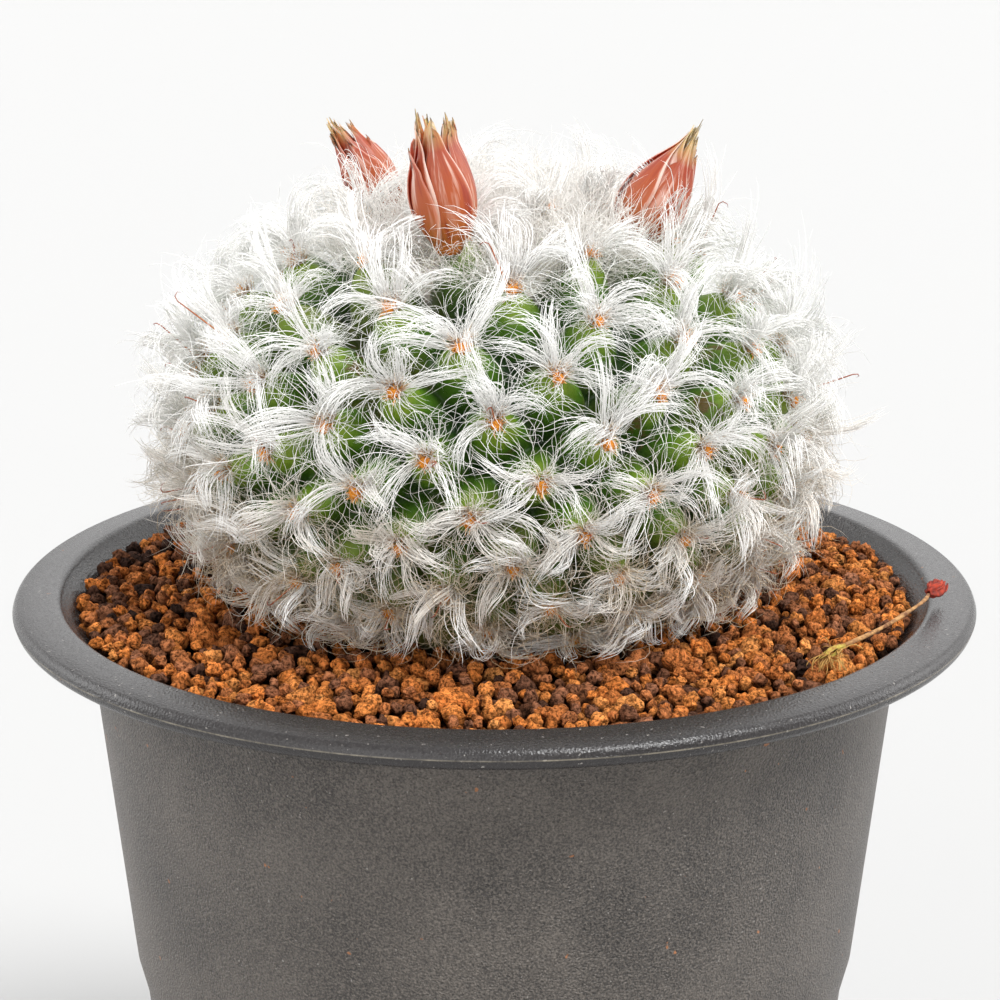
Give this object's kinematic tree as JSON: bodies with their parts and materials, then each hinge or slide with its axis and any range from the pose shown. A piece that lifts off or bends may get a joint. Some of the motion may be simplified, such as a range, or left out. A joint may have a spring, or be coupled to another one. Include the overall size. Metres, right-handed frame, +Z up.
{
  "type": "potted round cactus",
  "caption": "Round single-headed cactus with silky white hair, hooked spines and closed red buds, standing in clay granules in a tapered round plastic pot with a wide rolled lip.",
  "frame": {"origin": "centre of the pot's flat underside, on the surface it stands on", "axes": "+Z up, -Y towards the front, +X to the right seen from the front"},
  "size_m": [0.09, 0.09, 0.1262],
  "materials": {
    "pot_plastic": "matte moulded plastic with a fine pebbled grain",
    "soil_granules": "matte porous orange-brown baked clay granules",
    "stem_green": "waxy satin green plant skin",
    "silky_hair": "silky white hair",
    "hooked_spine": "satin red-brown horn-like spine",
    "bud_petal": "satin salmon red petal with pale streaks",
    "bud_heart": "satin pale salmon inner petals",
    "dry_stalk": "dry tan stalk",
    "dry_head": "shrivelled dark red-brown petals",
    "dry_bract": "dry yellow-green leaf scale"
  },
  "bodies": {
    "root": {"pot": "pot_plastic", "soil": "soil_granules", "stem": "stem_green", "crown_wool": "silky_hair", "hair_row_1": "silky_hair", "hair_row_2": "silky_hair", "hair_row_3": "silky_hair", "hair_row_4": "silky_hair", "hair_row_5": "silky_hair", "hair_row_6": "silky_hair", "hair_row_7": "silky_hair", "hair_row_8": "silky_hair", "hair_row_9": "silky_hair", "hair_row_10": "silky_hair", "hair_row_11": "silky_hair", "hair_row_12": "silky_hair", "hair_row_13": "silky_hair", "hooked_spine_1": "hooked_spine", "hooked_spine_2": "hooked_spine", "hooked_spine_3": "hooked_spine", "hooked_spine_4": "hooked_spine", "hooked_spine_5": "hooked_spine", "hooked_spine_6": "hooked_spine", "hooked_spine_7": "hooked_spine", "hooked_spine_8": "hooked_spine", "hooked_spine_9": "hooked_spine", "hooked_spine_10": "hooked_spine", "hooked_spine_11": "hooked_spine", "hooked_spine_12": "hooked_spine", "hooked_spine_13": "hooked_spine", "hooked_spine_14": "hooked_spine", "front_bud_heart": "bud_heart", "front_bud_petal_1": "bud_petal", "front_bud_petal_2": "bud_petal", "front_bud_petal_3": "bud_petal", "front_bud_petal_4": "bud_petal", "front_bud_petal_5": "bud_petal", "right_bud_heart": "bud_heart", "right_bud_petal_1": "bud_petal", "right_bud_petal_2": "bud_petal", "right_bud_petal_3": "bud_petal", "right_bud_petal_4": "bud_petal", "right_bud_petal_5": "bud_petal", "left_bud_heart": "bud_heart", "left_bud_petal_1": "bud_petal", "left_bud_petal_2": "bud_petal", "left_bud_petal_3": "bud_petal", "left_bud_petal_4": "bud_petal", "left_bud_petal_5": "bud_petal", "dry_flower_stalk": "dry_stalk", "dry_flower_head": "dry_head", "dry_flower_bract": "dry_bract"}
  },
  "joints": []
}
